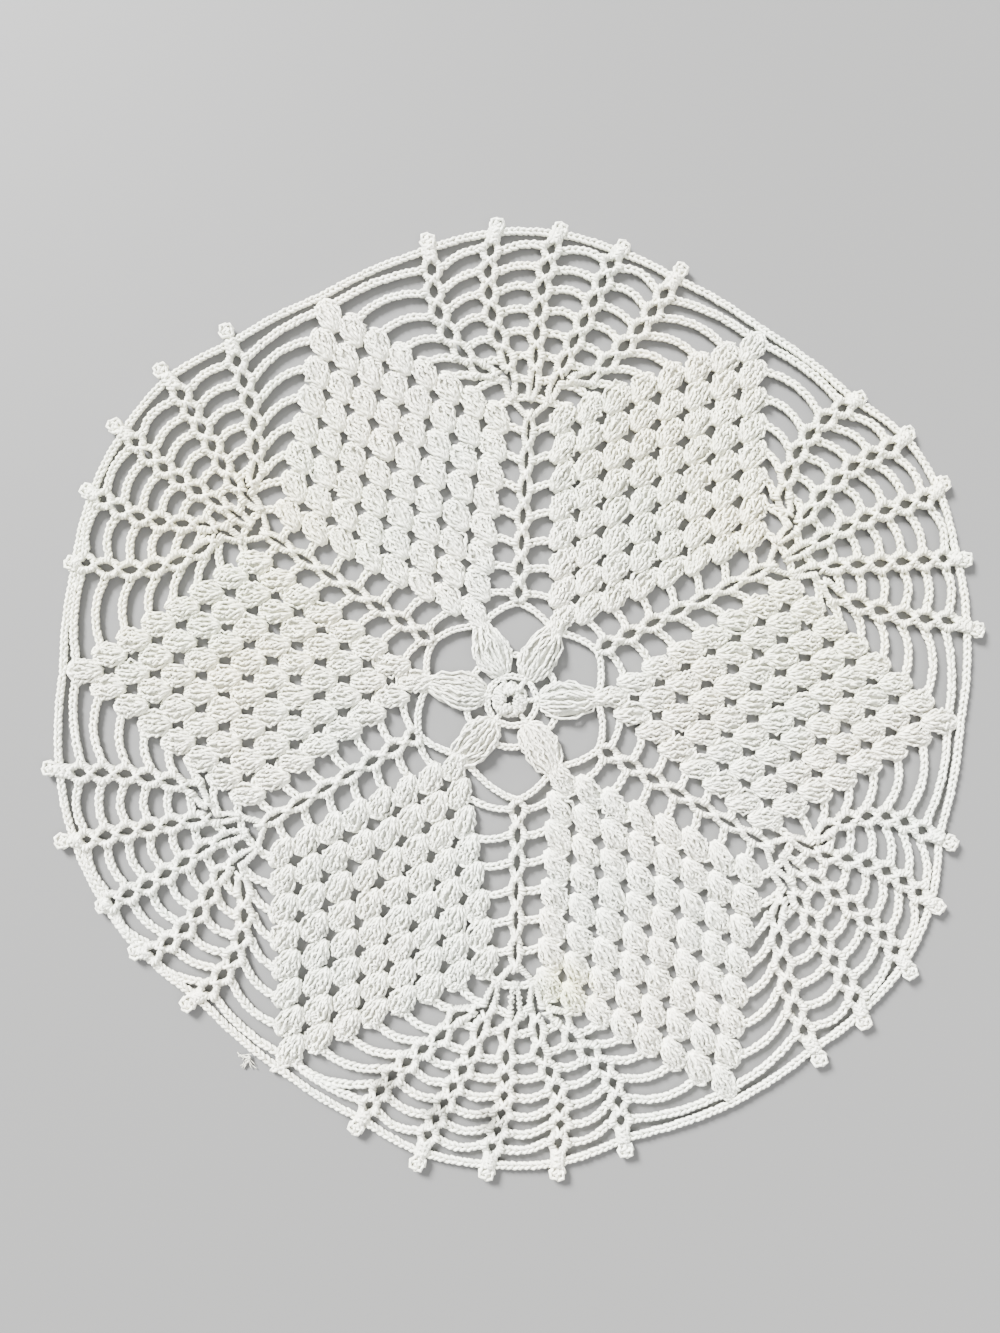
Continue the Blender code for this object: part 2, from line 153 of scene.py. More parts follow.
# The picots of each fan, a row for each fan: how far outside its column the edge chain meets a
# picot, how far outside it the middle of its knob lies, and how far clockwise.
Picots = namedtuple("Picots", "first second third fourth fifth")
EDGES = (
    Picots(6.1, 5.7, 4.9, 4.3, 5.8),
    Picots(4.1, 5.3, 4.7, 3.7, 5.9),
    Picots(5.2, 4.4, 4.3, 4.1, 5.6),
    Picots(5.2, 6.1, 5.3, 5.5, 4.3),
    Picots(3.7, 2.5, 1.9, 3.4, 6.1),
    Picots(2.2, 3.4, 4.6, 6.5, 5.6),
)
KNOBS = (
    Picots(8.5, 7.6, 6.1, 5.6, 8.7),
    Picots(5.1, 6.1, 6.0, 5.7, 8.8),
    Picots(8.6, 6.3, 6.9, 6.6, 8.9),
    Picots(8.2, 8.6, 7.4, 8.4, 6.9),
    Picots(6.8, 3.6, 2.4, 6.5, 8.7),
    Picots(3.0, 4.7, 7.6, 9.4, 9.4),
)
LEANS = (
    Picots(-0.8, 1.2, 1.1, 1.3, 0.4),
    Picots(0.2, -1.9, -3.2, 0.8, 2.3),
    Picots(-0.5, -0.3, 1.0, 1.8, -1.1),
    Picots(-0.7, -0.7, -0.6, -1.0, -0.6),
    Picots(1.3, 3.0, -0.4, 1.0, 1.7),
    Picots(-1.2, 0.0, -0.7, -1.1, 0.1),
)
# The share of a picot's lean at which the edge chain meets it.
FOOT_LEAN = 0.7

# The round whose V stitch carries the first three columns of each fan, and how far out that
# stitch's arms reach.
FORKS = (8, 8, 8, 7, 8, 8)
ARM_REACH = 5.3
# How far the outermost stitches of the fan that starts early swing out and stay back.
SWING = 2.6
SWING_BACK = 1.6

# V stitches in the ladders and in the fans: half the distance between the legs at their foot,
# the legs' girth, and how the loops drawn over the foot lean and reach.
Legs = namedtuple("Legs", "foot girth lean reach")
LADDER_LEGS = Legs(foot=0.60, girth=1.18, lean=1.7, reach=0.7)
FAN_LEGS = Legs(foot=0.95, girth=1.36, lean=1.3, reach=1.1)
# Half the distance at the foot of a ladder's or a fan's first stitches, and of a fork's arms.
FIRST_FOOT = 0.4
ARM_FOOT = 0.7

# Half the distance between the legs of a V stitch beside its chains: at the start of a ladder,
# of a fan, and some rounds into the fan. The legs bow out to it by a power of a sine.
LADDER_GAPE = 2.15
ROOT_GAPE = 1.45
FAN_GAPE = 2.35
GAPE_ROUNDS = 2.5
GAPE_STRAY = 0.15
GAPE_SHARPNESS = 1.3
CHAIN_INSET = 0.5

# The loops over each leg at its chain: how far out, where along the leg, and how much they lean.
SIDE_KNOT_OUT = 0.1
SIDE_KNOT_STEPS = (-0.45, 0.45)
SIDE_KNOT_LEANS = (0.1, 0.5)

# The picots: two short posts with loops over them at three levels, and a ring of chain on top.
PICOT_BASE = 0.35
PICOT_BASE_HALF = 1.1
PICOT_TOP_HALF = 0.9
PICOT_TOP = 0.9
PICOT_LEVELS = (0.15, 0.55, 1.0)
PICOT_WRAPS = ((0.0, 0.9), (0.3, -0.9))
KNOB_RING = 1.4
KNOB_TURNS = range(-180, 181, 36)

# Yarn: its radius, the length of a chain stitch and of a turn of the plies, how smoothly chains
# bend, the distance between the points of a bend, and the lowest that yarn may lie.
YARN = 0.46
PITCH = 1.75
PLY_LENGTH = 1.5
CHAIN_SMOOTHING = 0.7
STEP = 0.25
FEWEST_POINTS = 8
LOWEST = 0.02

# A full turn for the random phases of wound strands.
TURN = 6.3

# One leg of a chain stitch: how far along in stitches, how far to the side, how high its middle
# lies and how thick it is beside the yarn's radius.
Bend = namedtuple("Bend", "along aside height girth")
CHAIN_LEG = (
    Bend(-0.45, -0.10, 0.80, 0.75),
    Bend(0.00, 0.30, 1.25, 1.05),
    Bend(0.50, 0.74, 1.22, 1.15),
    Bend(1.00, 0.72, 0.90, 1.05),
    Bend(1.40, 0.25, 0.60, 0.75),
)
# How chain stitches stray: along the chain in stitches, each leg by itself, to the side and up.
STITCH_STRAY = 0.07
LEG_STRAY = 0.12
LEG_SPREADS = (0.85, 1.12)
LEG_RISE = 0.08
# The height of the tops round a chain, which sets its painted shade.
CHAIN_TOP = 1.65
# The strand behind the legs: its height, how far it sways, and its girth.
CHAIN_BACK = 0.55
BACK_SWAY = 0.22
BACK_GIRTH = 0.95

# A loop of yarn drawn over the legs of a stitch: its points' places to the side and heights.
Loop = namedtuple("Loop", "aside height")
KNOT = (Loop(1.15, 0.9), Loop(0.6, 1.75), Loop(-0.3, 1.8), Loop(-0.9, 1.0))
KNOT_STRAY = 0.1
KNOT_RISE = 0.45
KNOT_RISES = (0.7, 1.0)
# The height of the tops round a loop, which sets its painted shade.
KNOT_TOP = 2.6

# A leg of a V stitch: its points, as shares of its length, its height with what it gains in the
# middle and at its foot and loses at its end, and how its strands are wound round its middle.
LEG_SHARES = np.linspace(0, 1, 14)
LEG_HEIGHT = 1.05
LEG_SWELL = 0.1
LEG_FOOT_RISE = 0.5
LEG_END_DROP = 0.15
LEG_WINDING = 0.52
LEG_PITCHES = (2.4, 2.9)
LEG_NOISE = 0.09
LEG_STRAND = 0.85
LEG_PLIES = 3

# A post: the distance between its points and their least number, its height with what it gains
# in the middle, and how its strands are wound.
POST_STEP = 0.75
POST_POINTS = 5
POST_HEIGHT = 0.85
POST_SWELL = 0.15
POST_WINDING = 0.48
POST_PITCHES = (3.4, 4.4)

# A puff or petal, from foot to head: share of its length, half width, height of its skin above
# its core, and height of the core.
Belt = namedtuple("Belt", "along half skin core")
PUFF_BELTS = (
    Belt(0.00, 0.62, 0.20, 1.20),
    Belt(0.09, 1.42, 0.45, 1.35),
    Belt(0.19, 2.15, 0.65, 1.40),
    Belt(0.30, 2.80, 0.75, 1.42),
    Belt(0.42, 3.25, 0.80, 1.42),
    Belt(0.54, 3.50, 0.82, 1.38),
    Belt(0.66, 3.50, 0.80, 1.32),
    Belt(0.77, 3.28, 0.72, 1.22),
    Belt(0.87, 2.80, 0.60, 1.08),
    Belt(0.95, 2.15, 0.42, 0.92),
    Belt(1.00, 1.45, 0.20, 0.80),
)
PETAL_BELTS = (
    Belt(0.00, 2.00, 0.20, 1.00),
    Belt(0.04, 3.00, 0.50, 1.20),
    Belt(0.11, 4.10, 0.75, 1.35),
    Belt(0.22, 4.95, 0.95, 1.45),
    Belt(0.34, 5.35, 1.05, 1.50),
    Belt(0.47, 5.40, 1.05, 1.50),
    Belt(0.60, 4.90, 0.95, 1.45),
    Belt(0.73, 4.00, 0.80, 1.35),
    Belt(0.85, 2.90, 0.65, 1.25),
    Belt(0.94, 2.10, 0.50, 1.10),
    Belt(1.00, 1.70, 0.30, 0.95),
)
# Where a puff starts and ends, in steps of the panel's grid, how wide it comes out, and how much
# narrower the half is that faces out of the panel.
PUFF_FOOT = -0.36
PUFF_HEAD = 0.35
PUFF_WIDTHS = (0.92, 1.02)
OUTER_LEAN = 0.85
# Shares of the half width at which strands lie on top of a puff, of a petal and under both.
TOP_STRANDS = (-0.95, -0.58, -0.2, 0.2, 0.58, 0.95)
PETAL_STRANDS = (-0.95, -0.7, -0.42, -0.14, 0.14, 0.42, 0.7, 0.95)
LOW_STRANDS = (-0.7, 0.0, 0.7)
# Height and girth of those under both.
LOW_HEIGHT = 0.62
LOW_GIRTH = 1.3
# How the top strands stray: across by a share of the half width, in a bend, in waves and up.
SHARE_STRAY = 0.06
BEND_STRAY = 0.3
WAVE_STRAY = 0.25
WAVES = 9
HEIGHT_STRAY = 0.15
ROUGHNESS = 0.2
# How far the skin sinks towards the sides, and how far the outer strands lie below the others.
SKIN_FALL = 0.75
SIDE_DROP = 0.25
# The winding of the plies: its reach by the half width, then the length of a turn, the
# roughness and the girth by the share of the length.
WINDING_MOST = 0.44
WINDING_LEAST = 0.10
WINDING_GROWTH = 0.12
WINDING_STRAYS = (0.9, 1.1)
TURN_LENGTHS = ((0.0, 0.4, 0.6, 1.0), (6.4, 5.2, 3.0, 2.8))
ROUGH_SHARES = ((0.15, 0.5, 0.9, 1.0), (0.0, 1.0, 1.0, 0.3))
GIRTH_SHARES = ((0.0, 0.2, 0.9, 1.0), (0.9, 1.0, 0.95, 0.85))
# How far the body inside a puff stands out past the half width.
BELLY_OUT = 0.1

# The frayed end of yarn at the edge.
TUFT_SPOT = Vector((-75.9, -102.3))
TUFT_AT = 215.0
TUFT_SPREAD = 55
TUFT_FIBRES = 14
TUFT_LENGTHS = (2.5, 4.5)
TUFT_ROOT = 0.8
TUFT_BEND = 60
TUFT_HEIGHTS = (0.9, 0.3)
FIBRE = 0.14

# A strand is painted in full shade this far below the tops of its neighbours, and the painted
# shade eases again from this height down to the floor. Tops lie at the last height where nothing
# else is said.
SHADE_DEPTH = 1.3
SHADE_RISE = 0.8
USUAL_TOP = 1.7

# Yellowed and soiled places: where, how wide, how strong, and what the yarn's colour is
# multiplied by. All lie at one height, and are even over a share of their radius.
Stain = namedtuple("Stain", "x y radius strength red green blue")
STAINS = (
    Stain(15.5, -83.0, 12.0, 0.9, 0.96, 0.95, 0.77),
    Stain(-36.6, -109.9, 6.0, 0.9, 0.30, 0.30, 0.29),
    Stain(-22.0, -117.8, 6.0, 0.9, 0.30, 0.30, 0.29),
    Stain(-6.2, -120.4, 6.5, 0.9, 0.28, 0.28, 0.27),
    Stain(-85.0, 45.0, 80.0, 0.8, 1.0, 0.98, 0.86),
    Stain(85.0, 45.0, 80.0, 0.8, 1.0, 0.98, 0.87),
    Stain(20.0, 95.0, 60.0, 0.6, 1.0, 0.98, 0.88),
)
STAIN_HEIGHT = 1.0
STAIN_CORE = 0.2

# The two tints of the cotton, and where they end in the noise between them.
COTTON = ((0.35, (0.86, 0.885, 0.79, 1.0)), (0.65, (0.91, 0.885, 0.76, 1.0)))
FLOOR_COLOR = (0.125, 0.125, 0.123, 1.0)
WHITE = (1.0, 1.0, 1.0, 1.0)

rng = np.random.default_rng(20)


def spot(radius, bearing):
    """The point of the plan at a radius and a bearing."""
    angle = math.radians(bearing)
    return Vector((radius * math.sin(angle), radius * math.cos(angle)))


def outward(point):
    """Unit vector from the middle of the piece through a point."""
    return point.normalized()


def clockwise(direction):
    """A direction turned a quarter turn clockwise, seen from above."""
    return Vector((direction.y, -direction.x))


def mix(start, end, share):
    """The number or point that lies a share of the way from start to end."""
    return start * (1.0 - share) + end * share


def puff_spot(panel, i, j):
    """Centre of a puff, counted from the near corner: i towards the left, j to the right."""
    u = i / (PUFFS_A_SIDE - 1)
    v = j / (PUFFS_A_SIDE - 1)
    near = spot(panel.near, panel.near_at)
    left = spot(panel.left, panel.left_at)
    right = spot(panel.right, panel.right_at)
    tip = spot(panel.tip, panel.tip_at)
    swell = spot(panel.middle, panel.middle_at) - (near + left + right + tip) / 4
    level = mix(mix(near, left, u), mix(right, tip, u), v)
    return level + swell * (16 * u * (1 - u) * v * (1 - v))


def side_spot(panel, side, across, along):
    """A point of the panel's grid, counted from one of its two sides."""
    if side < 0:
        return puff_spot(panel, across, along)
    return puff_spot(panel, along, across)


def join_spot(panel, side, round_number):
    """Where the chain of a round leaves a panel, on the left of a fan for side -1."""
    last = PUFFS_A_SIDE - 1
    slip = panel.left_slip if side > 0 else panel.right_slip
    corner = PUFFS_A_SIDE - round(slip)
    if round_number < corner:
        along = round_number - 1 + LADDER_RISE + slip * min(1, round_number / 2)
        return side_spot(panel, side, -LADDER_REACH, min(along, last + FAN_REACH))
    return side_spot(panel, side, min(round_number - corner, last), last + FAN_REACH)


def vee_spot(fan, column, round_number):
    """Middle of the V stitch of a column, from -1 to 1 across the fan, in a round."""
    if round_number < FAN_ROUND:
        share = (round_number - 1) / (FAN_ROUND - 2)
        straight = mix(spot(fan.foot, fan.foot_at), spot(fan.head, fan.head_at), share)
        return straight - outward(straight) * (LADDER_SAG * 4 * share * (1 - share))
    if round_number == FAN_ROUND:
        return spot(fan.root - ROOT_DEPTH, fan.root_at)
    at_first = column * (column - 1) / 2
    at_last = column * (column + 1) / 2
    reach = fan.first * at_first + fan.rim * (1 - column**2) + fan.last * at_last
    root = spot(fan.root - FAN_DIP * column**2, fan.root_at + column * fan.root_spread)
    rim = spot(reach, fan.rim_at + column * fan.rim_spread)
    share = (round_number - FULL_FAN_ROUND) / (ROUNDS - FULL_FAN_ROUND)
    growth = (rim - root).normalized()
    stray = clockwise(growth) * (COLUMN_SWAY * column - COLUMN_LEAN) + growth * COLUMN_RISE
    return mix(root, rim, share) + stray * (4 * share * (1 - share))


def vee_direction(fan, column, round_number):
    """Direction in which a column grows at a round."""
    last = max(round_number, FULL_FAN_ROUND + 1) if round_number >= FAN_ROUND else round_number
    before = vee_spot(fan, column, last - 1)
    return (vee_spot(fan, column, last) - before).normalized()


def chain(start, end, bow, shares):
    """Points at some shares of a chain that bows outwards between two points."""
    rise = outward((start + end) / 2) * ((end - start).length * bow)
    return [mix(start, end, share) + rise * (4 * share * (1 - share)) for share in shares]


def picot_spot(number, place, reach, lean):
    """A point of a picot, outside its column by a reach and clockwise of it by a lean."""
    fan = FANS[number]
    growth = vee_direction(fan, COLUMNS[place], ROUNDS)
    middle = vee_spot(fan, COLUMNS[place], ROUNDS)
    return middle + growth * reach + clockwise(growth) * lean


def picot_foot(number, place):
    """Where the edge chain meets a picot of a fan."""
    return picot_spot(number, place, EDGES[number][place], LEANS[number][place] * FOOT_LEAN)


class Piece:
    """Closed tubes of yarn that become one mesh."""

    def __init__(self):
        self.points = []
        self.corners = []
        self.sizes = []
        self.maps = []
        self.tones = []
        self.painted_light = []
        self.count = 0

    def add(self, paths, radii, sides=4, tones=None, squash=None, tops=USUAL_TOP):
        """Adds a tube along each path, with its tone and the tops round it for its painted shade.
        """
        many, length, _ = paths.shape
        radii = np.broadcast_to(radii, (many, length))
        side, up = frames(paths)
        if squash:
            side = side * squash[0][:, None]
            up = up * squash[1][:, None]
        turn = (np.arange(sides) + 0.5) * 2 * np.pi / sides
        ring = (
            side[:, :, None] * np.cos(turn)[:, None] + up[:, :, None] * np.sin(turn)[:, None]
        )
        points = paths[:, :, None] + ring * radii[:, :, None, None]
        points[..., 2] = np.maximum(points[..., 2], LOWEST)
        # Painted shade: the colour darkens the further a point lies below the tops round it, and
        # lightens again near the floor.
        tops = np.broadcast_to(tops, (many, length))[..., None]
        above = 1 - (tops - points[..., 2]) / SHADE_DEPTH
        below = 1 - points[..., 2] / SHADE_RISE
        self.painted_light.append(np.clip(np.maximum(above, below), 0, 1).ravel())
        # Faces round each tube, their places along the strand, and a face at each end.
        here = np.arange(many * length * sides).reshape(many, length, sides) + self.count
        following = np.roll(here, -1, axis=2)
        quads = np.stack(
            (here[:, :-1], here[:, 1:], following[:, 1:], following[:, :-1]), axis=-1
        )
        step = np.linalg.norm(np.diff(paths, axis=1), axis=2)
        run = np.concatenate((np.zeros((many, 1)), np.cumsum(step, axis=1)), axis=1)
        run = run + rng.uniform(0, PLY_LENGTH, (many, 1))
        run = np.broadcast_to(run[:, :, None], (many, length, sides))
        share = np.broadcast_to(np.arange(sides) / sides, (many, length - 1, sides))
        low = np.stack((run[:, :-1], share), axis=-1)
        high = np.stack((run[:, 1:], share), axis=-1)
        over = np.array((0.0, 1.0 / sides))
        maps = np.stack((low, high, high + over, low + over), axis=-2)
        self.corners.append(quads.ravel())
        self.sizes.append(np.full(many * (length - 1) * sides, 4))
        self.maps.append(maps.reshape(-1, 2))
        caps = np.concatenate((here[:, 0], here[:, -1, ::-1]))
        self.corners.append(caps.ravel())
        self.sizes.append(np.full(2 * many, sides))
        self.maps.append(np.zeros((caps.size, 2)))
        if tones is None:
            tones = rng.uniform(0, 1, many)
        self.tones.append(np.repeat(tones, length * sides))
        self.points.append(points.reshape(-1, 3))
        self.count += many * length * sides

    def build(self, name, material):
        """The mesh object of everything added."""
        points = np.concatenate(self.points) * MM
        corners = np.concatenate(self.corners)
        sizes = np.concatenate(self.sizes)
        mesh = bpy.data.meshes.new(name)
        mesh.vertices.add(len(points))
        mesh.vertices.foreach_set("co", points.ravel())
        mesh.loops.add(len(corners))
        mesh.loops.foreach_set("vertex_index", corners)
        mesh.polygons.add(len(sizes))
        mesh.polygons.foreach_set("loop_start", np.cumsum(sizes) - sizes)
        mesh.update(calc_edges=True)
        mesh.validate()
        mesh.shade_smooth()
        layer = mesh.uv_layers.new(name="yarn")
        layer.data.foreach_set("uv", np.concatenate(self.maps).ravel())
        for kind, values in (("tone", self.tones), ("rise", self.painted_light)):
            numbers = mesh.attributes.new(kind, "FLOAT", "POINT")
            numbers.data.foreach_set("value", np.concatenate(values))
        mesh.materials.append(material)
        return add_object(name, mesh)


def along_path(path):
    """Length along a path at each of its points."""
    steps = np.linalg.norm(np.diff(path, axis=0), axis=1)
    return np.concatenate(((0.0,), np.cumsum(steps)))


def frames(paths):
    """Unit sides and ups along paths."""
    tangent = np.gradient(paths, axis=1)
    tangent /= np.maximum(np.linalg.norm(tangent, axis=2, keepdims=True), TINY)
    side = np.cross(tangent, np.array((0.0, 0.0, 1.0)))
    side /= np.maximum(np.linalg.norm(side, axis=2, keepdims=True), TINY)
    return side, np.cross(side, tangent)


def flat(point):
    """A plan point as an array."""
    return np.array((point.x, point.y))


def with_height(plan, height):
    """Plan points and their heights as one path."""
    return np.concatenate((plan, height[:, None]), axis=1)


def even_path(points, smoothing):
    """Plan points joined by a line, smoothed, and spaced by the step."""
    line = np.array([flat(point) for point in points])
    run = along_path(line)
    count = max(FEWEST_POINTS, int(run[-1] / STEP))
    where = np.linspace(0, run[-1], count)
    even = np.stack([np.interp(where, run, line[:, k]) for k in (0, 1)], axis=1)
    # Drawn on past both ends, the line is averaged under a bell curve.
    reach = int(3 * smoothing / STEP)
    weights = np.exp(-0.5 * (np.arange(-reach, reach + 1) * STEP / smoothing) ** 2)
    weights /= weights.sum()
    head = 2 * even[0] - even[reach:0:-1]
    tail = 2 * even[-1] - even[-2:-reach - 2:-1]
    if len(head) < reach or len(tail) < reach:
        return even
    padded = np.concatenate((head, even, tail))
    return np.stack([np.convolve(padded[:, k], weights, "valid") for k in (0, 1)], axis=1)


def add_chain(piece, points, width=1.0, lift=0.0, smoothing=CHAIN_SMOOTHING):
    """A row of chain stitches along plan points, two legs and a back strand each."""
    path = even_path(points, smoothing)
    run = along_path(path)
    tangent = np.gradient(path, axis=0)
    tangent /= np.linalg.norm(tangent, axis=1, keepdims=True)
    count = max(2, round(run[-1] / (PITCH * width**0.5)))
    pitch = run[-1] / count
    stitch = np.arange(count) + rng.uniform(-STITCH_STRAY, STITCH_STRAY, count)
    along, aside, height, girth = np.array(CHAIN_LEG).T
    where = (stitch[:, None] + along) * pitch
    legs = []
    for hand in (-1, 1):
        here = where + rng.uniform(-LEG_STRAY, LEG_STRAY, (count, 1)) * pitch
        spread = hand * (aside * width) * rng.uniform(*LEG_SPREADS, (count, 1))
        legs.append(place(path, tangent, run, here, spread, height + lift))
    legs = np.concatenate(legs)
    legs[..., 2] += rng.uniform(-LEG_RISE, LEG_RISE, (len(legs), 1))
    piece.add(legs, girth * YARN * width**0.5, tops=CHAIN_TOP + lift)
    half_stitches = np.arange(2 * count + 1)
    beats = half_stitches * pitch / 2
    sway = BACK_SWAY * width * np.sin(half_stitches * np.pi / 2)
    back = place(path, tangent, run, beats[None], sway[None], CHAIN_BACK + lift)
    piece.add(back, YARN * BACK_GIRTH, tops=CHAIN_TOP + lift)


def place(path, tangent, run, where, spread, height):
    """Points at lengths along a path, moved to the left by a spread, at a height."""
    spots = [np.interp(where, run, path[:, k]) for k in (0, 1)]
    turns = [np.interp(where, run, tangent[:, k]) for k in (0, 1)]
    past = where - np.clip(where, 0, run[-1])
    x = spots[0] + turns[0] * past - turns[1] * spread
    y = spots[1] + turns[1] * past + turns[0] * spread
    z = np.broadcast_to(height, x.shape)
    return np.stack((x, y, z), axis=-1)


def twist(paths, reach, pitch, phase, plies=2):
    """Strands wound round each path of an array."""
    side, up = frames(paths)
    step = np.linalg.norm(np.diff(paths, axis=1), axis=2)
    step = step * 2 * np.pi / np.broadcast_to(pitch, paths.shape[:2])[:, 1:]
    angle = np.concatenate((np.zeros((len(paths), 1)), np.cumsum(step, axis=1)), axis=1)
    angle = angle + phase[:, None]
    reach = np.broadcast_to(reach, angle.shape)[..., None]
    strands = []
    for turn in np.arange(plies) * 2 * np.pi / plies:
        cosine = np.cos(angle + turn)[..., None]
        sine = np.sin(angle + turn)[..., None]
        strands.append(paths + (side * cosine + up * sine) * reach)
    return np.concatenate(strands)


def add_post(piece, foot, top, lift=0.0, girth=1.0):
    """A tall stitch from one plan point to another, three strands wound round each other."""
    foot = flat(foot)
    top = flat(top)
    count = max(POST_POINTS, int(np.linalg.norm(top - foot) / POST_STEP) + 2)
    share = np.linspace(0, 1, count)
    line = foot + (top - foot) * share[:, None]
    height = POST_HEIGHT + POST_SWELL * np.sin(np.pi * share) + lift
    path = with_height(line, height)[None]
    reach = POST_WINDING * girth
    pitch = rng.uniform(*POST_PITCHES)
    rope = twist(path, reach, pitch, rng.uniform(0, TURN, 1), plies=LEG_PLIES)
    piece.add(rope, YARN * girth, tops=height + reach + YARN * girth)


def top_strands(foot, axis, across, belts, width, strands, lean):
    """Paths of the strands on top of a cluster, each with its own strays."""
    along, half, skin, core = np.array(belts).T
    swell = np.sin(along * np.pi)
    paths = []
    for share in strands:
        share = share + rng.uniform(-SHARE_STRAY, SHARE_STRAY)
        side = lean[1] if share > 0 else lean[0]
        drift = rng.uniform(-BEND_STRAY, BEND_STRAY) * swell
        wave = rng.uniform(0.0, WAVE_STRAY) * np.sin(along * WAVES + rng.uniform(0, TURN))
        aside = half * width * share * side + (drift + wave)
        height = core + skin * (1 - SKIN_FALL * share**4) - SIDE_DROP * abs(share)
        height = height + rng.uniform(-HEIGHT_STRAY, HEIGHT_STRAY) * swell
        plan = foot + axis * along[:, None] + across * aside[:, None]
        paths.append(with_height(plan, height))
    return np.array(paths)


def add_cluster(piece, foot, head, belts, strands, width=1.0, lean=(1.0, 1.0), rough=1.0):
    """Tall stitches worked together from a foot to a head, bulging between them."""
    foot = flat(foot)
    axis = flat(head) - foot
    across = np.array((axis[1], -axis[0])) / np.linalg.norm(axis)
    along, half, skin, core = np.array(belts).T
    half = half * width
    paths = top_strands(foot, axis, across, belts, width, strands, lean)
    reach = np.minimum(WINDING_MOST, WINDING_LEAST + WINDING_GROWTH * half)
    pitch = rng.uniform(*WINDING_STRAYS) * np.interp(along, *TURN_LENGTHS)
    pair = twist(paths, reach, pitch, rng.uniform(0, TURN, len(paths)))
    rough = rough * ROUGHNESS * np.interp(along, *ROUGH_SHARES)
    pair += rng.normal(0.0, 1.0, pair.shape) * rough[:, None]
    girth = YARN * np.interp(along, *GIRTH_SHARES)
    tops = np.tile(paths[..., 2], (2, 1)) + reach + girth
    piece.add(pair, girth, tops=tops)

    few = slice(0, None, 2)
    plan = foot + axis * along[few, None]
    half = half[few]
    middle = 0.5 * (core + 0.5 * skin)[few]
    belly = with_height(plan, middle)[None]
    squash = ((half + BELLY_OUT) * min(lean), middle)
    # The body lies far below tops of 3 mm, so most of it is painted in shade between the strands.
    piece.add(belly, radii=1.0, sides=8, tones=np.array((0.5,)), squash=squash, tops=3.0)
    low = np.full(len(half), LOW_HEIGHT)
    asides = [across * (half * share)[:, None] for share in LOW_STRANDS]
    piece.add(np.array([with_height(plan + aside, low) for aside in asides]), YARN * LOW_GIRTH)


def arm_end(number, side):
    """End of an arm of the wide V stitch that a fan grows from."""
    growth = vee_direction(FANS[number], 0.0, FORKS[number])
    middle = vee_spot(FANS[number], 0.0, FORKS[number])
    return middle + clockwise(growth) * (math.copysign(ARM_REACH, side))


def stitch_spot(number, column, round_number):
    """Middle of the top of a V stitch, those of a fan's first rounds included."""
    fan = FANS[number]
    fork = FORKS[number]
    if column == 0.0 or round_number >= FULL_FAN_ROUND:
        return vee_spot(fan, column, round_number)
    full = vee_spot(fan, column, FULL_FAN_ROUND)
    if abs(column) < 1.0:
        share = (round_number - fork) / (FULL_FAN_ROUND - fork)
        return mix(arm_end(number, column), full, share)
    middle = mix(stitch_spot(number, column / 2, round_number - 1), full, 0.5)
    growth = vee_direction(fan, 0.0, fork)
    return middle + clockwise(growth) * (column * SWING) - growth * SWING_BACK


def stitch_before(number, column, round_number):
    """Where a V stitch stands: on the one before it in its column, or where its column parts."""
    fork = FORKS[number]
    if round_number == 1:
        return spot(ARCH_RADIUS, FANS[number].foot_at)
    if abs(column) == 0.5 and round_number == fork + 1:
        return arm_end(number, column)
    if abs(column) == 1.0 and round_number == fork + 2:
        column = column / 2
    return stitch_spot(number, column, round_number - 1)


def stitch_after(number, column, round_number, side):
    """What stands on a V stitch's leg: the next V stitch or, in the last round, a picot."""
    if round_number == ROUNDS:
        return picot_foot(number, COLUMNS.index(column))
    if round_number == FORKS[number] + 1 and column * side > 0:
        column = column * 2
    return stitch_spot(number, column, round_number + 1)


def stitch_side(number, column, round_number):
    """Direction to the right across a V stitch, as its column grows."""
    before = stitch_before(number, column, round_number)
    after = stitch_after(number, column, round_number, 0)
    return clockwise((after - before).normalized())


def gape(number, column, round_number):
    """Half the distance between the legs of a V stitch where its chains join them."""
    fork = FORKS[number]
    if round_number < fork:
        return mix(LADDER_GAPE, ROOT_GAPE, (round_number - 1) / (fork - 2))
    share = min(1.0, (round_number - fork - 1) / GAPE_ROUNDS)
    return mix(ROOT_GAPE, FAN_GAPE, share)


def row_end(number, column, round_number, side):
    """Where a chain joins a V stitch."""
    if column == 0.0 and round_number == FORKS[number]:
        return arm_end(number, side)
    reach = gape(number, column, round_number) + CHAIN_INSET
    middle = stitch_spot(number, column, round_number)
    return middle + stitch_side(number, column, round_number) * (side * reach)


def panel_chain(number, side, round_number):
    """Points of a round's chain from inside a panel's puff to the first column of a fan."""
    panel = PANELS[number if side > 0 else number - 1]
    slip = panel.left_slip if side > 0 else panel.right_slip
    corner = PUFFS_A_SIDE - round(slip)
    last = PUFFS_A_SIDE - 1 + FAN_REACH
    if round_number == 0:
        end = spot(ARCH_RADIUS, FANS[number].foot_at)
        return chain(join_spot(panel, side, 0), end, ARCH_BOW, SHARES)
    if round_number < corner:
        along = min(round_number - HIDDEN_BACK + slip, last)
        hidden = side_spot(panel, side, HIDDEN_REACH, along)
    else:
        across = min(round_number - corner, last) + HIDDEN_ASIDE
        hidden = side_spot(panel, side, across, last)
    bow = EDGE_BOW
    if round_number < PUFFS_A_SIDE:
        bow = CHAIN_BOW
    if round_number == ROUNDS:
        bow = LAST_BOW
    column = row_columns(number, round_number)[0 if side < 0 else -1]
    end = row_end(number, column, round_number, side)
    return [hidden] + chain(join_spot(panel, side, round_number), end, bow, SHARES)


def row_columns(number, round_number):
    """The columns of V stitches in a round."""
    if round_number <= FORKS[number]:
        return (0.0,)
    if round_number == FORKS[number] + 1:
        return (-0.5, 0.0, 0.5)
    return COLUMNS


